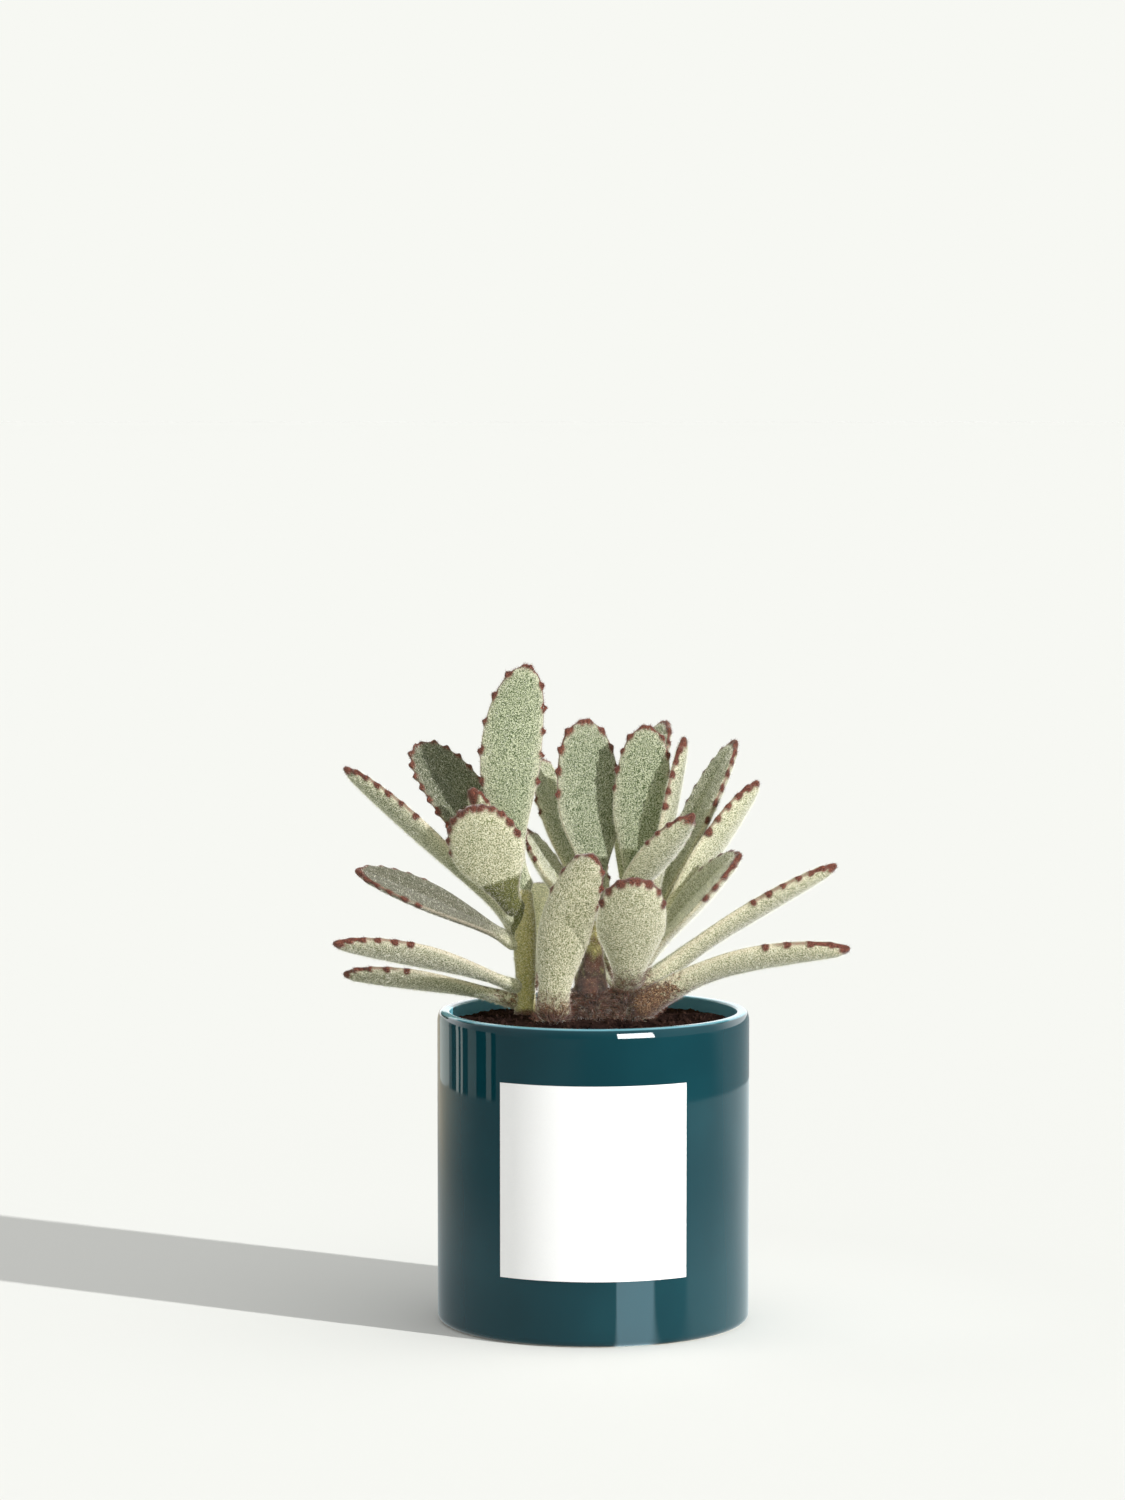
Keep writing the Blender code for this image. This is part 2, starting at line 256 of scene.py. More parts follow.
# Cards: glowing sheets round the pot that only the glaze shows. A soft box at the front right
# makes the small white bar under the lip, and strips at the left make the fine upright streaks.
SOFT_BOX = (0.52, -0.87, 0.36)
SOFT_BOX_WIDTH, SOFT_BOX_HEIGHT = 0.49, 0.4
STREAK_AWAY, STREAK_MIDDLE, STREAK_HEIGHT = 0.66, 0.08, 0.16
STREAKS = (  # from and to in degrees left of the front, and strength
    (73.0, 77.2, 0.02), (77.2, 82.0, 0.95), (82.0, 92.0, 0.02), (92.0, 101.5, 0.6),
    (101.5, 108.0, 0.05), (108.0, 110.6, 1.7), (110.6, 113.4, 0.04), (113.4, 117.0, 1.8),
    (117.0, 124.0, 0.06), (124.0, 128.5, 0.35), (128.5, 152.0, 1.15),
)


def card(name, tone, strength, centre, width, height):
    """A glowing upright card that faces the pot."""
    facing = math.atan2(centre[1], centre[0]) + math.pi / 2
    bpy.ops.mesh.primitive_plane_add(size=1.0, location=centre, rotation=(math.pi / 2, 0.0, facing))
    made = bpy.context.object
    made.name = name
    made.scale = (width, height, 1.0)
    look = bpy.data.materials.new(name)
    look.use_nodes = True
    look.node_tree.nodes.clear()
    glow = Socket(look.node_tree)
    light = glow.node("Emission", values={"Color": tone, "Strength": strength})
    glow.node("OutputMaterial", values={"Surface": light})
    made.data.materials.append(look)
    made.visible_camera = made.visible_diffuse = made.visible_shadow = False


card("soft_box", (1.0, 1.0, 1.0, 1.0), 30.0, SOFT_BOX, SOFT_BOX_WIDTH, SOFT_BOX_HEIGHT)
for number, (start, end, strength) in enumerate(STREAKS):
    centre = Vector((0.0, 0.0, STREAK_MIDDLE)) + heading(-90.0 - (start + end) / 2) * STREAK_AWAY
    width = STREAK_AWAY * math.radians(end - start)
    card(f"streak_{number}", (0.95, 1.0, 0.93, 1.0), strength, centre, width, STREAK_HEIGHT)


# Cover pot: slip-cast stoneware with a straight side, a softly rounded shoulder and lip, and a
# deep teal glaze all over except on the ring that it was fired on.
POT_RADIUS, POT_HEIGHT, WALL = 60.0, 120.0, 4.8
SHOULDER, SHOULDER_TURN = 9.0, 20.0  # radius and turn of the slight curve below the lip
FOOT_ROUND, FOOT_INNER, FOOT_RECESS = 3.0, 46.0, 2.0
LIP_ROUND = 1.6
INNER_ROUND, INNER_SUNK = 0.9, 0.06  # the lip's inner edge, and how far it is below the outer one
POT_FLOOR, FLOOR_ROUND = 5.0, 4.0
POT_SIDES = 160
SHARP = 35.0  # an edge is left sharp where its faces turn by more


def arc(centre, radius, start, end, steps):
    """Points of a profile in radius and height, from one angle to another."""
    turns = np.radians(np.linspace(start, end, steps + 1))
    return [(centre[0] + radius * math.cos(a), centre[1] + radius * math.sin(a)) for a in turns]


def lathe(name, profile, sides):
    """A piece turned round the upright axis, as on a wheel, from a profile that ends on it."""
    mesh = bpy.data.meshes.new(name)
    edges = [(i, i + 1) for i in range(len(profile) - 1)]
    mesh.from_pydata([(r / 1000, 0.0, z / 1000) for r, z in profile], edges, [])
    piece = bpy.data.objects.new(name, mesh)
    bpy.context.scene.collection.objects.link(piece)
    bpy.ops.object.select_all(action="DESELECT")
    bpy.context.view_layer.objects.active = piece
    piece.select_set(True)
    turn = piece.modifiers.new("wheel", "SCREW")
    turn.steps = turn.render_steps = sides
    turn.use_merge_vertices = True
    turn.merge_threshold = 0.00002
    bpy.ops.object.modifier_apply(modifier="wheel")
    bpy.ops.object.mode_set(mode="EDIT")
    bpy.ops.mesh.select_all(action="SELECT")
    bpy.ops.mesh.remove_doubles(threshold=0.00001)
    bpy.ops.mesh.normals_make_consistent(inside=False)
    bpy.ops.object.mode_set(mode="OBJECT")
    bpy.ops.object.shade_smooth_by_angle(angle=math.radians(SHARP))
    return piece


inner = POT_RADIUS - WALL
lip_turn = math.radians(SHOULDER_TURN)
turned_in = SHOULDER * (1 - math.cos(lip_turn))
lip_middle = (POT_RADIUS - turned_in - LIP_ROUND * math.cos(lip_turn), POT_HEIGHT - LIP_ROUND)
inner_middle = (inner + INNER_ROUND, POT_HEIGHT - INNER_ROUND - INNER_SUNK)
shoulder_end = lip_middle[1] + LIP_ROUND * math.sin(lip_turn)
shoulder_low = shoulder_end - SHOULDER * math.sin(lip_turn)
profile = [(0.0, FOOT_RECESS), (20.0, FOOT_RECESS), (FOOT_INNER - 0.6, FOOT_RECESS)]
profile += [(FOOT_INNER, FOOT_RECESS - 0.6), (FOOT_INNER, 0.4), (FOOT_INNER + 0.4, 0.0)]
profile += arc((POT_RADIUS - FOOT_ROUND, FOOT_ROUND), FOOT_ROUND, -90, 0, 8)
profile += [(POT_RADIUS, height) for height in np.linspace(12, shoulder_low - 6, 12)]
profile += arc((POT_RADIUS - SHOULDER, shoulder_low), SHOULDER, 0, SHOULDER_TURN, 8)
profile += arc(lip_middle, LIP_ROUND, SHOULDER_TURN, 88, 8)[1:]
profile += arc(inner_middle, INNER_ROUND, 88, 180, 8)
profile += [(inner, height) for height in np.linspace(POT_HEIGHT - 12, POT_FLOOR + FLOOR_ROUND + 6, 8)]
profile += arc((inner - FLOOR_ROUND, POT_FLOOR + FLOOR_ROUND), FLOOR_ROUND, 0, -90, 5)
profile += [(20.0, POT_FLOOR), (0.0, POT_FLOOR)]
pot = lathe("glazed_pot", profile, POT_SIDES)

glaze, tree = finish_of("teal_glaze", IOR=1.5)
place = tree.node("TexCoord", out=3)
x, y, height = (tree.node("SeparateXYZ", values={0: place}, out=axis) for axis in range(3))
radius = tree.math("SQRT", x * x + y * y)
cloud = tree.node("TexNoise", values={"Vector": place, "Scale": 26.0, "Detail": 2.0})
pooled = cloud.ramp(0.35, 0.7).between(colour(4, 52, 60), colour(9, 58, 66))
# Painted light: the inner wall and a fine band along the top of the lip are painted a paler teal,
# standing in for light on the inside of the pot and for a highlight along the lip.
painted_light_inner_wall = (1.0 - radius.ramp(0.0553, 0.0558)) * height.ramp(0.1, 0.101)
painted_light_glaze = (height.ramp(0.1193, 0.1199) * 0.7 + painted_light_inner_wall).between(pooled, colour(122, 192, 208))
fired = tree.node("TexNoise", values={"Vector": place, "Scale": 900.0, "Detail": 4.0})
clay = fired.ramp(0.3, 0.7).between(colour(176, 166, 150), colour(206, 198, 184))
bare = 1.0 - height.ramp(0.0002, 0.0006)
bare_roughness = bare * 0.65 + 0.03
ripple = tree.node("TexNoise", values={"Vector": place, "Scale": 60.0, "Detail": 1.0})
ripple = tree.node("Bump", values={"Height": ripple, "Strength": 0.03, "Distance": 0.0006})
feed(glaze, tree, Base_Color=bare.between(painted_light_glaze, clay), Roughness=bare_roughness, Normal=ripple)
pot.data.materials.append(glaze)
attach(pot, "root")
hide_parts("pot")


# Label: a plain square of white coated paper, cut with square edges and glued round the front of
# the pot, so that it bends with the pot's side.
LABEL_WIDTH, LABEL_LOW, LABEL_HIGH = 74.0, 25.2, 98.8
LABEL_INNER, LABEL_THICK = 60.1, 0.35
LABEL_ACROSS, LABEL_UP = 60, 24  # its faces

bpy.ops.mesh.primitive_grid_add(x_subdivisions=LABEL_ACROSS, y_subdivisions=LABEL_UP, size=2.0)
label = bpy.context.object
label.name = "paper_label"
for vert in label.data.vertices:
    turn = vert.co.x * LABEL_WIDTH / 2 / POT_RADIUS
    height = (LABEL_LOW + LABEL_HIGH) / 2 + vert.co.y * (LABEL_HIGH - LABEL_LOW) / 2
    vert.co = Vector((math.sin(turn) * LABEL_INNER, -math.cos(turn) * LABEL_INNER, height)) / 1000
thickness = label.modifiers.new("thickness", "SOLIDIFY")
thickness.thickness = LABEL_THICK / 1000
thickness.offset = 1.0
bpy.ops.object.modifier_apply(modifier="thickness")
bpy.ops.object.shade_smooth_by_angle(angle=math.radians(SHARP))
paper, tree = finish_of("white_paper", Roughness=0.55)
place = tree.node("TexCoord", out=3)
fibre = tree.node("TexNoise", values={"Vector": place, "Scale": 1800.0, "Detail": 5.0})
fibre_bump = tree.node("Bump", values={"Height": fibre, "Strength": 0.05, "Distance": 0.0002})
white = fibre.between(colour(240, 240, 239), colour(247, 247, 246))
feed(paper, tree, Base_Color=white, Normal=fibre_bump)
label.data.materials.append(paper)
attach(label, "root")
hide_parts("label")


# Soil: dark peat, filled in to a few millimetres below the rim, level at the wall and heaped up
# at each stem where it was pressed round the roots.
SOIL_LEVEL, SOIL_RISE, SOIL_HEAP = 114.6, 2.6, 9.0
SOIL_RADIUS, SOIL_DEEP = 54.9, 5.3
SOIL_RINGS, SOIL_SIDES = 90, 180
SOIL_LUMPS = ((5.6, 0.5), (2.1, 0.45))  # width and height
CLOD_WIDTH, CLOD_HEIGHT = 0.9, 0.5


@dataclass
class Stem:
    """Upright to the soil's surface, then a gentle curve to its top."""

    foot: tuple
    top: tuple
    radius: float
    top_radius: float


STEMS = {
    "left": Stem((-26.0, 8.0), (-27.0, 9.0, 166.0), 3.5, 3.0),
    "front": Stem((-15.2, -9.0), (-15.2, -9.0, 119.0), 5.4, 5.2),
    "centre": Stem((-1.5, 0.0), (1.5, 4.0, 160.0), 4.0, 3.0),
    "right": Stem((12.5, 1.0), (15.0, 4.0, 160.0), 4.2, 3.0),
}


def soil_height(x, y):
    """The surface of the soil: heaped, in soft lumps and small clods."""
    heap = sum(
        math.exp(-((x - stem.foot[0]) ** 2 + (y - stem.foot[1]) ** 2) / (2 * SOIL_HEAP**2))
        for stem in STEMS.values()
    )
    here = Vector((x, y, 0.0))
    lumps = sum(noise.noise(here / width) * height for width, height in SOIL_LUMPS)
    lumps += abs(noise.noise(here / CLOD_WIDTH)) * CLOD_HEIGHT
    return SOIL_LEVEL + SOIL_RISE * min(heap, 1.0) + lumps


profile = [(radius, SOIL_DEEP) for radius in (0.0, 30.0, SOIL_RADIUS - 4)]
profile += [(SOIL_RADIUS, SOIL_DEEP + 4)]
profile += [(SOIL_RADIUS, height) for height in np.linspace(30, SOIL_LEVEL - 8, 6)]
profile += [(SOIL_RADIUS * ring / SOIL_RINGS, SOIL_LEVEL) for ring in range(SOIL_RINGS, -1, -1)]
soil = lathe("soil_body", profile, SOIL_SIDES)
for vert in soil.data.vertices:
    if vert.co.z > (SOIL_LEVEL - 1) / 1000:
        vert.co.z = soil_height(vert.co.x * 1000, vert.co.y * 1000) / 1000

earth, tree = finish_of("peat", Roughness=1.0, Specular_IOR_Level=0.0)
place = tree.node("TexCoord", out=3)
grain = tree.node("TexNoise", values={"Vector": place, "Scale": 900.0, "Detail": 6.0})
damp = tree.node("TexNoise", values={"Vector": place, "Scale": 120.0, "Detail": 3.0})
dark = damp.ramp(0.3, 0.7).between(colour(20, 13, 12), colour(42, 30, 26))
peat = (grain.ramp(0.55, 0.8) * 0.5).between(dark, colour(80, 60, 48))
grain_bump = tree.node("Bump", values={"Height": grain, "Strength": 0.8, "Distance": 0.0006})
feed(earth, tree, Base_Color=peat, Normal=grain_bump)
soil.data.materials.append(earth)
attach(soil, "root")
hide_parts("soil")


# Crumbs: loose bits of peat and bark strewn over the soil, where they fell when the pot was
# filled. Each is a squashed and uneven lump.
CRUMBS, CRUMB_REACH = 900, 52.5
CRUMB_SMALL, CRUMB_LARGE = 0.35, 1.3  # half of its length

bpy.ops.mesh.primitive_ico_sphere_add(subdivisions=1, radius=1.0)
lump = bpy.context.object
lump_points = np.array([vert.co[:] for vert in lump.data.vertices])
lump_faces = np.array([face.vertices[:] for face in lump.data.polygons])
bpy.data.objects.remove(lump)
chance = np.random.default_rng(11)
points, faces = [], []
for number in range(CRUMBS):
    away, turn = CRUMB_REACH * math.sqrt(chance.random()), chance.uniform(0.0, 2.0 * math.pi)
    x, y = away * math.cos(turn), away * math.sin(turn)
    size = chance.uniform(CRUMB_SMALL, CRUMB_LARGE) * chance.uniform(0.5, 1.0, 3)
    ragged = lump_points * size * chance.uniform(0.75, 1.25, lump_points.shape)
    spin = chance.uniform(0.0, 2.0 * math.pi)
    cosine, sine = math.cos(spin), math.sin(spin)
    ragged[:, :2] = ragged[:, :2] @ np.array([[cosine, sine], [-sine, cosine]])
    points.append(ragged + (x, y, soil_height(x, y) + size[2] * 0.3))
    faces.append(lump_faces + number * len(lump_points))
mesh = bpy.data.meshes.new("crumbs")
mesh.from_pydata(np.concatenate(points) / 1000, [], np.concatenate(faces).tolist())
mesh.materials.append(earth)
crumbs = bpy.data.objects.new("crumbs", mesh)
bpy.context.scene.collection.objects.link(crumbs)
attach(crumbs, "root")


# Stems: short and woody where the old leaves fell, green and felted above. The front one is
# only the foot of the upright leaf, and the middle ones stand in thick old stumps.
STEM_SIDES, STEM_STEP, STEM_BURIED = 40, 0.6, 6.0
STEM_CROWN = 2.4  # height of the rounded top
STUMPS = {"left": 1.2, "front": 0.8, "centre": 5.4, "right": 3.8}  # what is added at the soil
STUMP_HEIGHT = {"left": 6.0, "front": 6.0, "centre": 18.0, "right": 12.0}
NODES = {"left": (1.4, 34.0, 15.0)}  # swelling at the leaves, its height above the soil, its spread
OLD_WOOD = {"left": 9.0, "front": 30.0, "centre": 60.0, "right": 40.0}  # height of the brown part
KNOTS = ((4.2, 0.35), (1.6, 0.25))  # width and height


def stem_centre(stem, height):
    """The middle of a stem at a height."""
    share = (height - SOIL_LEVEL) / (stem.top[2] - SOIL_LEVEL)
    lean = share * share * (2.0 - share) if share > 0 else 0.0
    x = stem.foot[0] + (stem.top[0] - stem.foot[0]) * lean
    y = stem.foot[1] + (stem.top[1] - stem.foot[1]) * lean
    return Vector((x, y, height))


def stem_radius(stem, height):
    """A stem's radius at a height, without its stump."""
    share = min(max((height - SOIL_LEVEL) / (stem.top[2] - SOIL_LEVEL), 0.0), 1.0)
    return stem.radius + (stem.top_radius - stem.radius) * share


def skin(name, grid, look, values):
    """A closed smooth piece over a grid of rings, with a named value for each of its points."""
    rings, sides = grid.shape[:2]
    points = np.concatenate([grid.reshape(-1, 3), [grid[0].mean(0), grid[-1].mean(0)]])
    low, side = np.meshgrid(np.arange(rings - 1), np.arange(sides), indexing="ij")
    after = (side + 1) % sides
    quads = np.stack([low * sides + side, low * sides + after, (low + 1) * sides + after], -1)
    quads = np.concatenate([quads, ((low + 1) * sides + side)[..., None]], -1).reshape(-1, 4)
    ends = []
    for side in range(sides):
        after = (side + 1) % sides
        last = (rings - 1) * sides
        ends.append((after, side, rings * sides))
        ends.append((last + side, last + after, rings * sides + 1))
    mesh = bpy.data.meshes.new(name)
    mesh.from_pydata(points / 1000, [], quads.tolist() + ends)
    for attribute, value in values.items():
        flat = np.concatenate([value.reshape(-1), [value[0].mean(), value[-1].mean()]])
        mesh.attributes.new(attribute, "FLOAT", "POINT").data.foreach_set("value", flat)
    mesh.shade_smooth()
    mesh.materials.append(look)
    piece = bpy.data.objects.new(name, mesh)
    bpy.context.scene.collection.objects.link(piece)
    return piece


bark, tree = finish_of("felted_stem", Roughness=0.9, Sheen_Weight=0.25, Sheen_Roughness=0.5)
place = tree.node("TexCoord", out=3)
woody = tree.node("Attribute", {"attribute_name": "woody"}, out=2)
patch = tree.node("TexNoise", values={"Vector": place, "Scale": 260.0, "Detail": 5.0})
speck = tree.node("TexNoise", values={"Vector": place, "Scale": 1500.0, "Detail": 3.0})
green = speck.ramp(0.3, 0.75).between(colour(104, 102, 56), colour(160, 152, 106))
brown = patch.ramp(0.35, 0.65).between(colour(26, 17, 14), colour(68, 44, 34))
brown = speck.ramp(0.58, 0.76).between(brown, colour(126, 102, 74))
old = (woody + (patch - 0.5) * 1.0).ramp(0.3, 0.7)
relief = {"Height": patch * 0.7 + speck * 0.3, "Strength": 0.7, "Distance": 0.0006}
rough = tree.node("Bump", values=relief)
feed(bark, tree, Base_Color=old.between(green, brown), Normal=rough)

stem_grids = {}
for name, stem in STEMS.items():
    swelling, swelling_height, spread = NODES.get(name, (0.0, 0.0, 1.0))
    rings, old_wood = [], []
    for height in np.arange(SOIL_LEVEL - STEM_BURIED, stem.top[2] + 0.01, STEM_STEP):
        above = height - SOIL_LEVEL
        radius = stem_radius(stem, height)
        radius += STUMPS[name] * math.exp(-((max(above, 0) / STUMP_HEIGHT[name]) ** 2))
        radius += swelling * math.exp(-(((above - swelling_height) / spread) ** 2))
        crown = max(0.0, 1.0 - (stem.top[2] - height) / STEM_CROWN)
        radius *= math.sqrt(max(1.0 - crown**2, 0.02))
        middle = stem_centre(stem, height)
        knotty = 0.3 if name == "left" else 1.2 + 1.6 * math.exp(-max(above, 0.0) / 9.0)
        ring = []
        for side in range(STEM_SIDES):
            way = heading(360 * side / STEM_SIDES)
            here = middle + way * radius
            knot = sum(noise.noise(here / width) * height for width, height in KNOTS)
            ring.append(here + way * knot * knotty)
        rings.append(ring)
        old_wood.append([max(0.0, 1.0 - above / OLD_WOOD[name])] * STEM_SIDES)
    stem_grids[name] = np.array(rings), {"woody": np.array(old_wood)}
    piece = skin("felted_stem_" + name, stem_grids[name][0], bark, stem_grids[name][1])
    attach(piece, "root")
    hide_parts("stem_" + name)


# Leaves: thick and spoon-shaped, felted all over with short white hairs, domed below and
# channelled above. The outer end of each carries blunt teeth with a rust-brown spot on each.
@dataclass
class Leaf:
    """A leaf's place on its stem and its shape."""

    height: float  # of the root above the pot's foot
    azimuth: float  # in which it leaves the stem
    rise: float  # above level, near the root
    length: float
    width: float
    bend: float = 0.0  # what the rise gains from root to tip
    ease: float = 1.0  # 1 where most of the bend comes near the root, 0 where it is even
    sweep: float = 0.0  # what the azimuth gains
    roll: float = 0.0  # about its own spine
    cup: float = 0.22  # depth of the channel, as a share of half the width
    neck: float = 5.6  # width at the root
    thick: float = 4.8
    widest: float = 0.62  # of the length, from the root
    taper: float = 0.42  # more than a half draws the tip in to a point
    foot: tuple = (1.4, 7.0)  # swelling at the root and its length
    pitch: float = 5.6  # between the first teeth
    toothed: float = 0.45  # of the margin's length, from the tip
    tooth: float = 1.0  # height of a tooth
    painted_shade_stalk: float = 0.0  # length at the root painted dark olive-green, a painted shade
    runs_down: float = 0.0  # how far its base runs down the stem
    dust: float = 1.0  # how brown its root is
    age: float = 0.5  # 0 is young and blue-green, 1 is old and straw-coloured
    tone: float = 1.0  # lighter or darker than the others: its own tone, and painted shade on two leaves and painted light on one


# Each leaf by its height, azimuth, rise, length and width, and by what sets it apart
LEAVES = {
    "left": (
        Leaf(
            122.5, 163, 12, 71, 17, bend=-9, roll=-25, taper=0.6, foot=(1.6, 12),
            pitch=7.2, dust=0.6, age=0.55, tone=0.74,
        ),
        Leaf(
            128, 200, 23, 76, 17, bend=-12, roll=-25, taper=0.6, foot=(1.0, 8), dust=0.3,
            age=0.6, tone=0.78,
        ),
        # Painted shade: the next leaf is made far darker, tone 0.3, for the shade it lies in.
        Leaf(145, 188, 29, 68, 18, bend=-6, roll=30, taper=0.6, age=0.9, tone=0.3),
        # Painted shade: the next leaf's base is painted dark olive-green for the shade that falls on
        # it.
        Leaf(
            158, 212, 60, 45.5, 29, bend=6, roll=-45, cup=0.05, foot=(1.6, 14),
            pitch=4.3, toothed=0.55, painted_shade_stalk=17, runs_down=12, age=0.6, tone=1.14,
        ),
        Leaf(153, 170, 44, 89, 17, bend=-4, roll=-30, taper=0.62, age=0.3, tone=0.9),
        # Painted shade: the next leaf is made far darker, tone 0.4, for the shade it lies in.
        Leaf(
            160.5, 145, 70, 76, 23, bend=-26, roll=35, pitch=5.4, toothed=0.6, tooth=1.4,
            age=0.35, tone=0.4,
        ),
        Leaf(
            166, 0, 105.5, 86.5, 23.4, bend=-34, ease=0, roll=-90, cup=-0.05, pitch=9.0,
            toothed=0.62, tooth=1.5, age=0.12, tone=1.0,
        ),
        # Painted light: the next leaf, pale and old, is made lighter still, tone 2.1, standing in for
        # light on it.
        Leaf(138, 84, 22, 55.5, 22, bend=5, age=1.0, tone=2.1),
        Leaf(128.5, 82, 8, 50, 18, age=0.7),
        Leaf(164.3, 186, 72, 43.5, 11.5, bend=-4, roll=-40, neck=4, thick=4, pitch=4.4, age=0.5),
        Leaf(148.5, 130, 40, 45, 15, age=0.5),
    ),
    "front": (
        Leaf(
            119, -15, 91, 64, 20.6, bend=-31, ease=0, roll=90, neck=11, widest=0.55,
            taper=0.37, pitch=7.4, toothed=0.4, dust=0.75, age=0.8, tone=0.93,
        ),
    ),
    "centre": (
        Leaf(
            160, 112, 79, 71, 26.4, neck=6, widest=0.58, taper=0.38, cup=0.0, pitch=7.6,
            toothed=0.55, tooth=1.5, age=0.15, tone=0.78,
        ),
        Leaf(154.5, -36, 46, 60, 15, roll=25, taper=0.7, age=0.45),
        Leaf(149.5, 149, 54, 48, 15, taper=0.6, age=0.6),
        Leaf(156, 116, 50, 76, 16, taper=0.6, age=0.4),
        Leaf(144, 96, 38, 56, 18, age=0.5),
        Leaf(128, 100, 14, 54, 18, age=0.7),
    ),
    "right": (
        Leaf(
            120.5, -8, 38, 86, 17, bend=-32, roll=24, thick=6.0, taper=0.6,
            foot=(3.6, 24), pitch=8.2, toothed=0.4, age=0.9, tone=0.98,
        ),
        Leaf(
            131, -86, 48, 52.5, 26.4, bend=10, neck=7, widest=0.58, foot=(2.6, 16),
            pitch=6.0, dust=0.75, age=0.85, tone=1.1,
        ),
        Leaf(
            127.5, 3, 38, 90, 16, bend=-9, roll=20, thick=5.6, taper=0.62,
            foot=(2.6, 24), dust=0.7, age=0.6,
        ),
        Leaf(
            137, -30, 50, 63.5, 22.5, bend=-6, roll=-40, taper=0.6, foot=(1.8, 14),
            age=0.55, tone=1.1,
        ),
        Leaf(143, 2, 53, 79, 22, bend=4, roll=25, taper=0.6, foot=(1.8, 14), age=0.45, tone=1.22),
        Leaf(149, 25, 62, 84, 18, roll=-8, taper=0.6, age=0.4),
        Leaf(
            160, 0, 85.2, 68.5, 21.4, roll=-90, neck=6, taper=0.38, cup=0.0, pitch=7.0,
            toothed=0.5, tooth=1.3, age=0.15, tone=0.93,
        ),
        Leaf(155, 95, 65, 82, 20, sweep=-60, age=0.3),
        Leaf(155, -6, 79, 72, 17, taper=0.6, age=0.35),
        Leaf(141, 78, 34, 58, 18, age=0.6),
        Leaf(133, 120, 32, 50, 17, age=0.6),
        Leaf(123, 94, 16, 50, 18, age=0.7),
    ),
}
LEAF_SIDES = 48
LEAF_STEP = 0.8  # between its rings
LEAF_SUNK, LEAF_CLOSING = 3.0, 1.6  # how far a leaf goes into its stem, and where it closes there
TIP = 6.0  # length in which the rings crowd towards the tip
ABOVE, BELOW = 0.4, 0.6  # how its thickness is shared between its two faces
MIDDLE_LINE = 0.4  # depth of the fine line along the channel
TOOTH_RISE, TOOTH_FALL = 2.8, 1.3  # length of a tooth's slow side and of its steep one
GAP_GROWTH = 1.07  # of the gaps between teeth, from the tip on
SPOT_DEEP, TIP_DEEP = 2.9, 3.4  # how far the brown reaches in from the margin, and at the tip
DUST_TOP, DUST_SPREAD = 146.0, 18.0  # the height below which roots turn brown, and how gently
ROOT_RISE, ROOT_TURN = 38.0, 0.13  # a steep leaf leaves its stem at this rise and soon turns up
SPINE_STEPS = 128


def smooth(x):
    """0 below 0 and 1 above 1, eased between."""
    x = np.clip(x, 0.0, 1.0)
    return x * x * (3.0 - 2.0 * x)


def bell(x, spread):
    """1 at 0, dying away on both sides."""
    return np.exp(-((x / spread) ** 2))


def spine(leaf, stem):
    """Points along the leaf's middle, with the direction and the level side at each."""
    on_top = leaf.height >= stem.top[2]
    point = stem_centre(stem, leaf.height)
    if not on_top:
        point = point + heading(leaf.azimuth) * stem_radius(stem, leaf.height)
    points, ways, sides = [], [], []
    for step in range(SPINE_STEPS + 1):
        along = step / SPINE_STEPS
        held = 0.0 if on_top else max(leaf.rise - ROOT_RISE, 0.0) * (1.0 - smooth(along / ROOT_TURN))
        azimuth = leaf.azimuth + leaf.sweep * along
        rise = leaf.rise + leaf.bend * along * (1.0 + leaf.ease * (1.0 - along)) - held
        way = heading(azimuth, rise)
        points.append(point)
        ways.append(way)
        sides.append(heading(azimuth - 90))
        point = point + way * (leaf.length / SPINE_STEPS)
    return np.array(points), np.array(ways), np.array(sides)


def teeth_and_marks(leaf, across, edge_arc, inward, chance):
    """How high the teeth stand and how brown the leaf is at each of its points."""
    teeth, marks = np.zeros(inward.shape), np.zeros(inward.shape)
    small = min(1.2, leaf.width / 21.5)
    for margin in (1, -1):
        here = smooth(across * margin * 6.0 + 0.5)
        place, gap = chance.uniform(-0.6, 0.6), leaf.pitch * 0.9
        while place < leaf.length * leaf.toothed:
            # Each rises slowly from the root's side and falls off on the tip's, and has a spot.
            ahead = place - edge_arc
            slow, steep = smooth(1.0 + ahead / TOOTH_RISE), smooth(1.0 - ahead / TOOTH_FALL)
            knob = np.where(ahead < 0, slow, steep)
            fade = 1.0 - 0.5 * place / leaf.length
            teeth = np.maximum(teeth, knob * here * chance.uniform(0.75, 1.1))
            deep = SPOT_DEEP * fade * small
            spot = bell(ahead - 0.1, (1.5 + 0.7 * fade) * small) * bell(inward, deep)
            marks = np.maximum(marks, spot * here * chance.uniform(0.8, 1.2))
            place += gap * chance.uniform(0.9, 1.1)
            gap *= GAP_GROWTH
    line = 0.5 * bell(inward, 0.8) * smooth((leaf.length * leaf.toothed - edge_arc) / 8.0)
    cap = smooth(1.4 - edge_arc / (leaf.pitch * 2.2)) * bell(inward, 0.9)
    tip = 1.2 * bell(edge_arc, 3.6) * bell(inward, TIP_DEEP * (17.0 / leaf.width) ** 2)
    return teeth, np.maximum.reduce([marks, line, cap, tip])


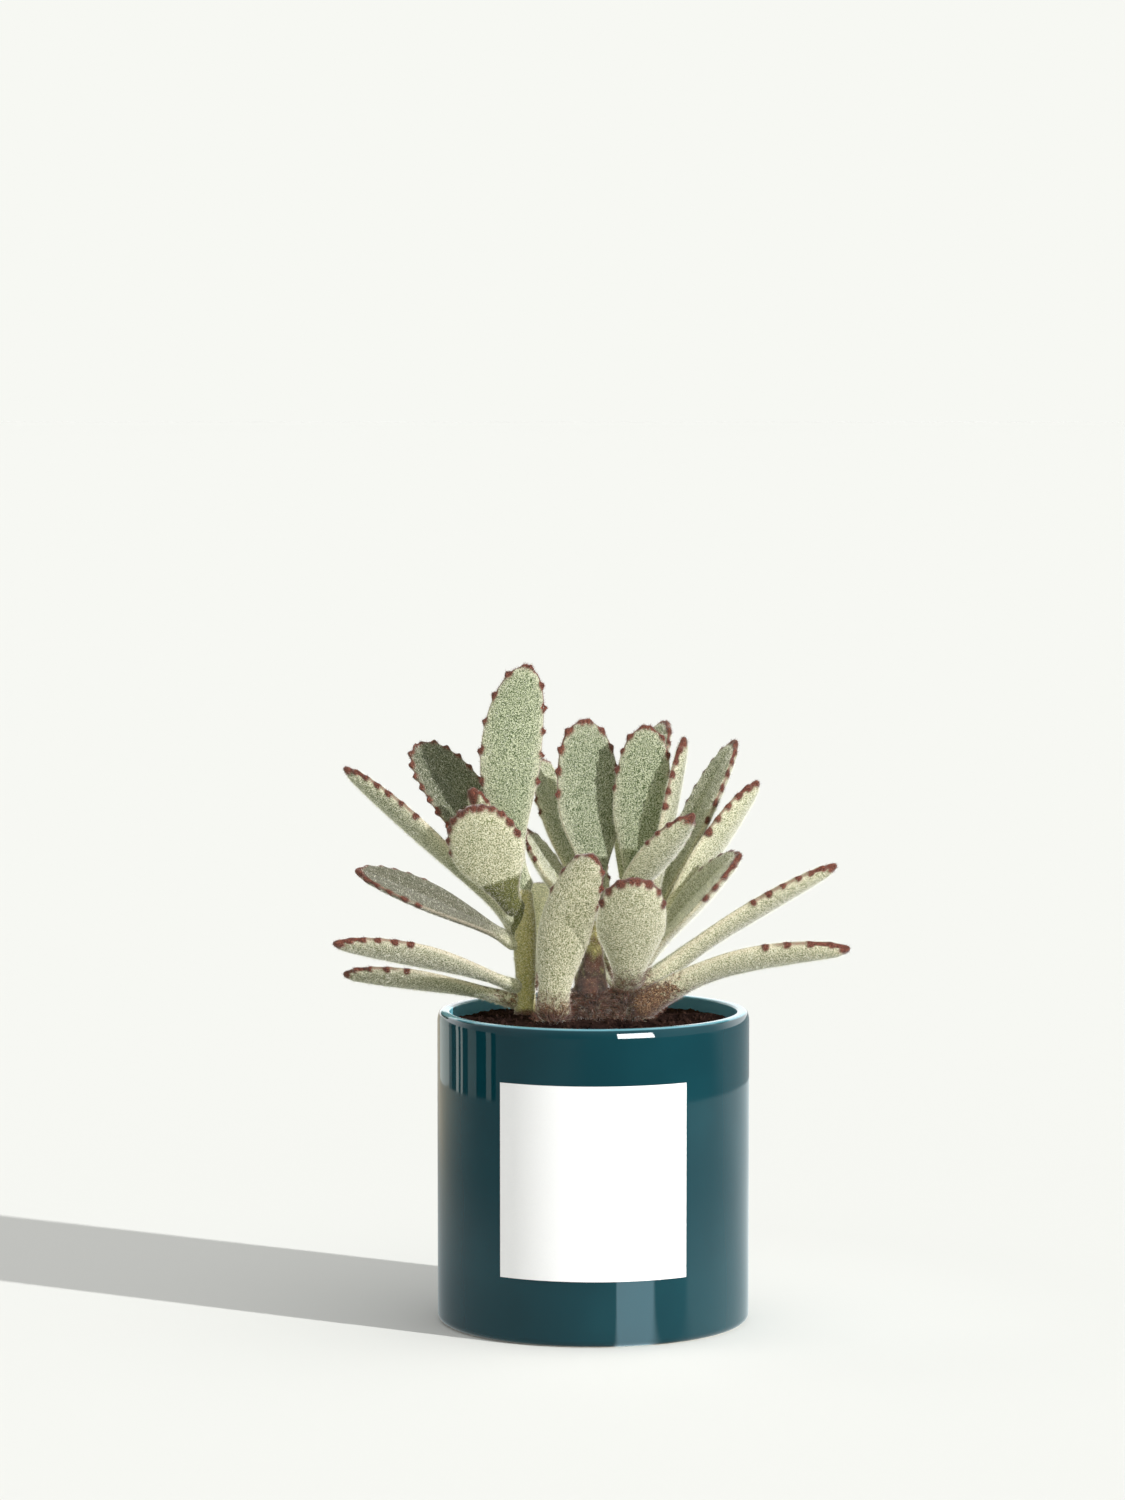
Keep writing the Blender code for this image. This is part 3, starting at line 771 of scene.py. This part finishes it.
def leaf_grid(leaf, stem, chance):
    """Rings of points over a leaf, with each point's marks."""
    start = -LEAF_SUNK - leaf.runs_down
    round_tip = np.sin(np.linspace(0, math.pi / 2, 14)[:-1])
    places = np.arange(start, leaf.length - TIP, LEAF_STEP)
    places = np.concatenate([places, leaf.length - TIP * (1.0 - round_tip), [leaf.length - 0.02]])
    along = np.clip(places / leaf.length, 0.0, 1.0)
    points, ways, sides = spine(leaf, stem)
    steps = np.arange(SPINE_STEPS + 1)

    def read(table):
        columns = [np.interp(along * SPINE_STEPS, steps, column) for column in table.T]
        return np.stack(columns, -1)

    middle, way, side = read(points), read(ways), read(sides)
    way /= np.linalg.norm(way, axis=1, keepdims=True)
    side /= np.linalg.norm(side, axis=1, keepdims=True)
    back = (0.0, 0.0, 1.0) if leaf.runs_down else way
    middle = middle + back * np.minimum(places, 0.0)[:, None]
    up = np.cross(side, way)
    turn = math.radians(leaf.roll)
    side, up = side * math.cos(turn) + up * math.sin(turn), up * math.cos(turn) - side * math.sin(turn)

    # The outline: a neck, a long opening and a rounded end, and its length from the tip.
    closing = (1.0 - leaf.widest) * leaf.length
    toward = np.clip((along - leaf.widest) / (1.0 - leaf.widest), 0.0, 1.0)
    neck = leaf.neck / leaf.width
    opening = neck + (1.0 - neck) * smooth((along - 0.05) / (leaf.widest - 0.08))
    half = leaf.width / 2 * np.where(toward > 0, (1.0 - toward**2) ** leaf.taper, opening)
    full = np.minimum(half / (leaf.width / 2), 1.0)
    closed = np.sqrt(np.clip((places - start + 0.3) / (LEAF_CLOSING - start), 0.03, 1.0))
    swelling = leaf.foot[0] * bell(np.maximum(places, 0.0), leaf.foot[1])
    arc_steps = np.hypot(np.diff(places), np.diff(half))
    arc_length = np.append(np.cumsum(arc_steps[::-1])[::-1], 0.0)
    body = leaf.thick * (0.66 + 0.34 * full) * np.minimum(1.0, np.sqrt(full * 2.2)) + swelling * 2
    body = body * closed

    # From here on, a row for each ring and a column for each of its points
    angles = -np.arange(LEAF_SIDES) * 2 * math.pi / LEAF_SIDES
    across, over = np.cos(angles)[None, :], np.sin(angles)[None, :]
    toward, half, full, body = toward[:, None], half[:, None], full[:, None], body[:, None]
    span = np.sqrt(toward**2 + across**2 * (1.0 - toward**2))
    edge_place = (leaf.widest + (1.0 - leaf.widest) * toward / np.maximum(span, 0.001)) * leaf.length
    edge_arc = np.interp(np.where(toward > 0, edge_place, places[:, None]), places, arc_length)
    radial = np.hypot(toward * closing, across * half) / np.maximum(span, 0.001)
    inward = (1.0 - span) * np.where(span > 0.01, radial, half) + np.abs(over) * body * 0.3
    teeth, marks = teeth_and_marks(leaf, across, edge_arc, inward, chance)

    # The teeth stand out square to the outline.
    ahead = toward / closing
    beside = across * np.sqrt(1.0 - toward**2) / (leaf.width / 2)
    size = np.maximum(np.hypot(ahead, beside), 1e-6)
    reach = leaf.tooth * teeth * span**6
    out = (half + swelling[:, None]) * closed[:, None] * across + reach * beside / size
    forward = reach * ahead / size

    # Domed below, flatter above, with the channel and its fine middle line
    blunt = np.sign(over) * np.abs(over) ** 0.8
    lift = body * blunt * np.where(over > 0, ABOVE, BELOW)
    lift = lift + leaf.cup * half * across**2 * smooth(along / 0.3)[:, None]
    if leaf.cup > 0.1:
        line = bell(across, 0.16) * (over > 0) * smooth(along / 0.2)[:, None] * full
        lift = lift - MIDDLE_LINE * line
    grid = middle[:, None] + side[:, None] * out[..., None] + up[:, None] * lift[..., None]
    grid = grid + way[:, None] * forward[..., None]

    low = np.clip((DUST_TOP - grid[..., 2]) / DUST_SPREAD, 0.0, 1.0)
    # Painted shade: how far from the root the base is painted dark.
    painted_shade_stalk = smooth((leaf.painted_shade_stalk - places) / 5.0) * (leaf.painted_shade_stalk > 0)
    values = {
        "mark": marks,
        "rim": bell(inward, 3.2),
        "margin": bell(inward, 0.55) * smooth(along / 0.25)[:, None],
        "upper": smooth(over * 2.0 + 0.5),
        "root": bell(np.maximum(places, 0.0), leaf.foot[1] + 3.0)[:, None] * low * leaf.dust,
        "painted_shade_stalk": painted_shade_stalk[:, None],
        "age": leaf.age,
        "tone": leaf.tone + (1.0 - leaf.tone) * bell(places, 9.0)[:, None],
    }
    return grid, {name: np.broadcast_to(value, marks.shape) for name, value in values.items()}


soft = {"Roughness": 0.88, "Sheen_Weight": 0.5, "Sheen_Roughness": 0.4, "Specular_IOR_Level": 0.2}
felt, tree = finish_of("leaf_felt", **soft)
place = tree.node("TexCoord", out=3)
mark, margin, rim, upper, root, painted_shade_stalk, age, tone = (
    tree.node("Attribute", {"attribute_name": name}, out=2)
    for name in ("mark", "margin", "rim", "upper", "root", "painted_shade_stalk", "age", "tone")
)
tuft = tree.node("TexNoise", values={"Vector": place, "Scale": 2200.0, "Detail": 2.0})
cloud = tree.node("TexNoise", values={"Vector": place, "Scale": 90.0, "Detail": 3.0})
young = tuft.ramp(0.36, 0.66).between(colour(50, 65, 34), colour(153, 159, 134))
straw = tuft.ramp(0.36, 0.66).between(colour(84, 90, 52), colour(181, 177, 157))
years = (age + (1.0 - upper) * 0.25 + (cloud - 0.5) * 0.5).ramp(0.0, 1.1)
blade = years.between(young, straw)
blade = (rim * (tuft.ramp(0.3, 0.65) * 0.45 + 0.12)).between(blade, colour(186, 184, 164))
# Painted shade: a dark olive painted on the base of a leaf, standing in for the shade that falls
# there.
painted_shade_olive = tuft.ramp(0.34, 0.7).between(colour(52, 56, 26), colour(96, 96, 56))
blade = (painted_shade_stalk + (cloud - 0.5) * 0.5).ramp(0.2, 0.8).between(blade, painted_shade_olive)
# Each leaf's tone scales its colour, as painted shade on two leaves and painted light on one.
grey = tree.node("CombineXYZ", values={0: tone, 1: tone, 2: tone})
blade = tree.node("VectorMath", {"operation": "MULTIPLY"}, {0: blade, 1: grey})
edged = (margin * (tuft.ramp(0.2, 0.6) * 0.25 + 0.15)).between(blade, colour(190, 176, 158))
rust = tuft.ramp(0.35, 0.75).between(colour(54, 28, 22), colour(112, 66, 52))
spotted = (mark + (tuft - 0.5) * 0.5).ramp(0.22, 0.66).between(edged, rust)
dust = tuft.ramp(0.4, 0.7).between(colour(50, 32, 24), colour(134, 106, 80))
ragged = {"Vector": place, "Scale": 480.0, "Detail": 4.0, "Roughness": 0.65}
crust = tree.node("TexNoise", values=ragged)
dusty = (root + (crust - 0.5) * 1.9).ramp(0.35, 0.8).between(spotted, dust)
nap = tree.node("Bump", values={"Height": tuft, "Strength": 0.6, "Distance": 0.0004})
feed(felt, tree, Base_Color=dusty, Normal=nap)

leaf_grids = {}
for group, leaves in LEAVES.items():
    for number, leaf in enumerate(leaves, start=1):
        chance = np.random.default_rng(number * 7 + len(group))
        grid, values = leaf_grid(leaf, STEMS[group], chance)
        leaf_grids[group, number] = grid, values
        piece = skin(f"felted_leaf_{group}_{number}", grid, felt, values)
        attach(piece, "root")
        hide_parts(f"leaf_{group}_{number}")


# Hairs: the plant's felt, which grows out of its skin all over, each hair a thin sliver. They are
# white on the leaves, rust-coloured on the teeth, and long, brown and tangled round the stumps.
LEAF_HAIR = (1.05, 0.085, 0.6)  # length, width, and how far it leans towards the tip
STEM_HAIR = (0.8, 0.09, 0.4)
TANGLE_HAIR, TANGLE_BRISTLE = (2.4, 0.12, 0.5), (4.6, 0.34, 0.0)
ROOT_HAIR = (1.8, 0.1, 0.8)
LEAF_HAIRS = 6.5  # for each square millimetre of a leaf's length by its width
STEM_HAIRS, LEFT_STEM_HAIRS = 7000, 9000
TANGLE_HAIRS, TANGLE_BRISTLES, ROOT_HAIRS = 6500, 1500, 1500
TANGLE_TOP = 13.0  # above the soil
HAIRY_ROOT, HAIRY_DUST = 135.0, 0.65  # the leaves that leave lower, and are browner, have root hairs


def slivers(grid, shade, count, shape, chance):
    """The corners of hairs of one shape spread over a grid of rings, and each hair's shade."""
    length, width, lean = shape
    here, beside, next_ring = grid[:-1], np.roll(grid, -1, axis=1)[:-1], grid[1:]
    u, v = beside - here, next_ring - here
    normal = np.cross(u, v)
    area = np.linalg.norm(normal, axis=-1).reshape(-1)
    cell = chance.choice(len(area), size=count, p=area / area.sum())
    u, v, start = u.reshape(-1, 3)[cell], v.reshape(-1, 3)[cell], here.reshape(-1, 3)[cell]
    normal = normal.reshape(-1, 3)[cell]
    normal /= np.maximum(np.linalg.norm(normal, axis=1, keepdims=True), 1e-9)
    along = v / np.maximum(np.linalg.norm(v, axis=1, keepdims=True), 1e-9)
    start = start + u * chance.random((count, 1)) + v * chance.random((count, 1))
    way = normal + along * lean + chance.normal(0.0, 0.45, (count, 3))
    way /= np.linalg.norm(way, axis=1, keepdims=True)
    flat = np.cross(way, chance.normal(0.0, 1.0, (count, 3)))
    flat *= width / 2 / np.maximum(np.linalg.norm(flat, axis=1, keepdims=True), 1e-9)
    tip = start + way * length * chance.uniform(0.6, 1.2, (count, 1))
    points = np.stack([start - flat, start + flat, tip], axis=1)
    return points, shade[:-1].reshape(-1)[cell]


hair, tree = finish_of("felt_hair", Roughness=0.8, Sheen_Weight=0.3, Specular_IOR_Level=0.2)
shade = tree.node("Attribute", {"attribute_name": "shade"}, out=2)
dark = shade.ramp(0.9, 1.9).between(colour(92, 54, 42), colour(34, 21, 18))
feed(hair, tree, Base_Color=shade.ramp(0.3, 0.7).between(colour(212, 212, 200), dark))


def coat(name, parts):
    """One piece of all the hairs in a list of points and shades."""
    points = np.concatenate([points for points, shade in parts]).reshape(-1, 3)
    shades = np.repeat(np.concatenate([shade for points, shade in parts]), 3)
    mesh = bpy.data.meshes.new(name)
    mesh.from_pydata(points / 1000, [], np.arange(len(points)).reshape(-1, 3).tolist())
    mesh.attributes.new("shade", "FLOAT", "POINT").data.foreach_set("value", shades)
    mesh.materials.append(hair)
    piece = bpy.data.objects.new(name, mesh)
    bpy.context.scene.collection.objects.link(piece)
    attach(piece, "root")


for group, leaves in LEAVES.items():
    chance = np.random.default_rng(len(group) + 40)
    parts = []
    for number, leaf in enumerate(leaves, start=1):
        grid, values = leaf_grids[group, number]
        # The hairs are darker and browner on the base painted as shade, as part of that painted shade.
        shade = np.clip(values["mark"] * 1.1 + values["root"] * 0.8 + values["painted_shade_stalk"] * 0.42, 0.0, 1.0)
        # Darker leaves get fewer pale hairs, so that their tone, painted shade on two of them, stays
        # dark.
        count = int(leaf.length * leaf.width * LEAF_HAIRS * min(leaf.tone, 1.0))
        parts.append(slivers(grid, shade, count, LEAF_HAIR, chance))
    coat("felt_" + group, parts)

parts = []
chance = np.random.default_rng(5)
for name, (grid, values) in stem_grids.items():
    fuzz = values["woody"] * 0.7 + 0.1
    count = LEFT_STEM_HAIRS if name == "left" else STEM_HAIRS
    parts.append(slivers(grid, fuzz, count, STEM_HAIR, chance))
    if name != "left":
        above = grid[:, 0, 2] - SOIL_LEVEL
        stump = grid[(above > -0.5) & (above < TANGLE_TOP)]
        mixed = chance.uniform(0.5, 2.0, stump.shape[:2])
        parts.append(slivers(stump, mixed, TANGLE_HAIRS, TANGLE_HAIR, chance))
        parts.append(slivers(stump, mixed, TANGLE_BRISTLES, TANGLE_BRISTLE, chance))
for (group, number), (grid, values) in leaf_grids.items():
    root = grid[4:16]
    if root[0, :, 2].mean() < HAIRY_ROOT and LEAVES[group][number - 1].dust > HAIRY_DUST:
        mixed = chance.uniform(0.46, 1.5, root.shape[:2])
        parts.append(slivers(root, mixed, ROOT_HAIRS, ROOT_HAIR, chance))
coat("stem_fuzz", parts)


# Light on each piece: the floor, the pot with its label and the plant each have their own lamp,
# because their shades fall a little apart. One pale leaf in front throws no shadow on the rest.
SHADOWLESS = "felted_leaf_right_2"
LIT = {  # the group that each lamp lights
    "floor_lamp": "open_floor",
    "pot_lamp": "cover_pot",
    "plant_lamp": "plant",
    "plant_fill": "plant",
}

group_of = {floor.name: "open_floor", pot.name: "cover_pot", label.name: "cover_pot"}
group_names = ("open_floor", "cover_pot", "plant", "casters")
groups = {name: bpy.data.collections.new(name) for name in group_names}
for thing in bpy.context.scene.objects:
    if thing.type == "MESH":
        group = group_of.get(thing.name, "plant")
        groups[group].objects.link(thing)
        if group == "plant" and thing.name != SHADOWLESS:
            groups["casters"].objects.link(thing)
for lamp, group in LIT.items():
    lamps[lamp].light_linking.receiver_collection = groups[group]
lamps["plant_lamp"].light_linking.blocker_collection = groups["casters"]
